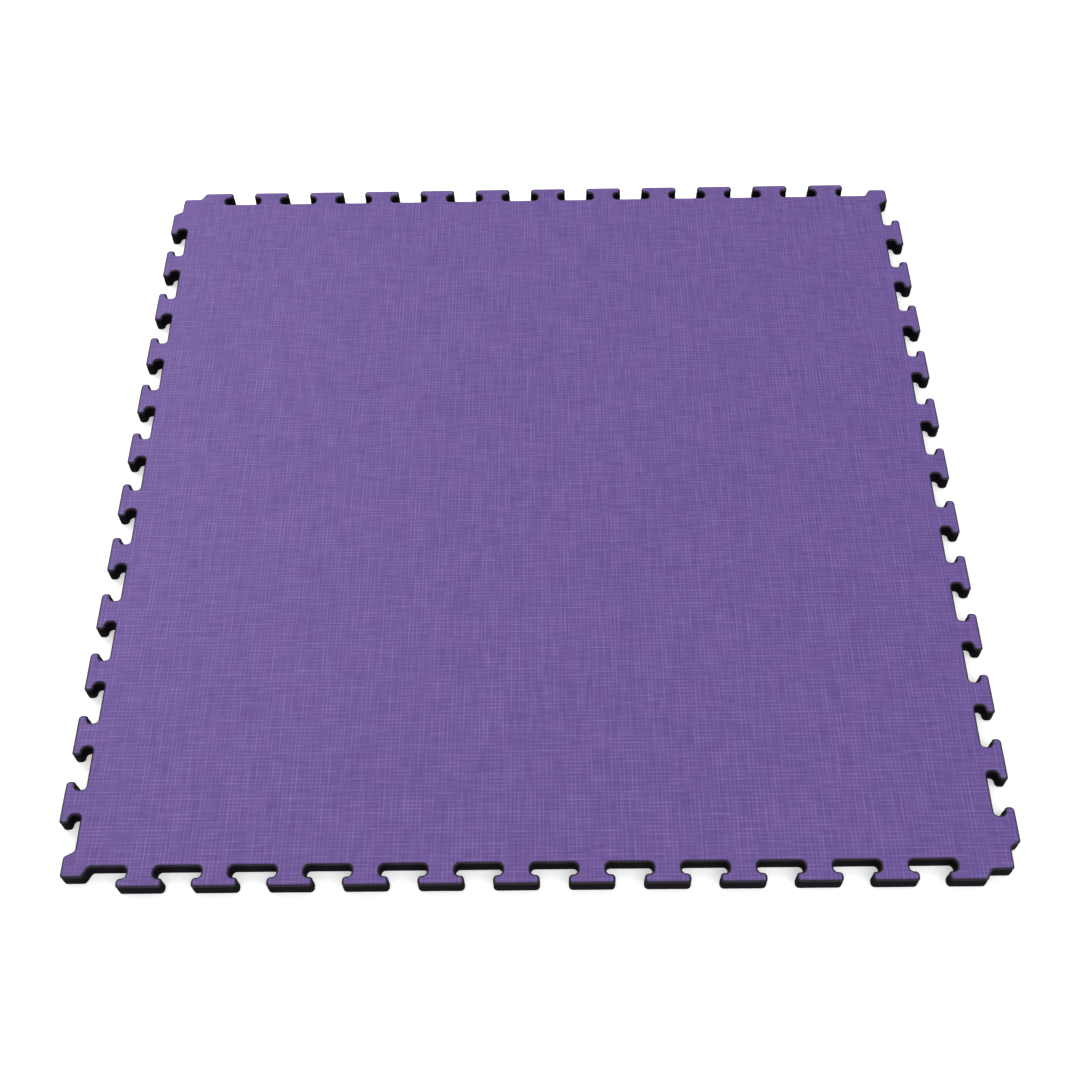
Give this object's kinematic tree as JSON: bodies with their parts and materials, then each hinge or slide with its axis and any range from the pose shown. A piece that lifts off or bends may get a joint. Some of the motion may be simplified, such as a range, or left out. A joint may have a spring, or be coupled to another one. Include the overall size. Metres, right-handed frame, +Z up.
{
  "type": "interlocking foam floor mat tile",
  "caption": "Square closed-cell foam floor mat tile, coloured on top and dark below, with a jigsaw edge on all sides that locks to the next tile.",
  "frame": {"origin": "centre of the underside, on the floor", "axes": "+Z up out of the coloured face, X and Y along the two pairs of sides, with the sockets beside the corners at -X -Y and +X +Y"},
  "size_m": [1.0226, 1.0226, 0.02],
  "materials": {
    "top_foam": "matt purple foam with a fine woven emboss",
    "core_foam": "matt near-black die-cut foam",
    "base_foam": "matt near-black foam with a fine woven emboss"
  },
  "bodies": {
    "root": {"base_layer": "base_foam", "core_layer": "core_foam", "top_layer": "top_foam"}
  },
  "joints": []
}
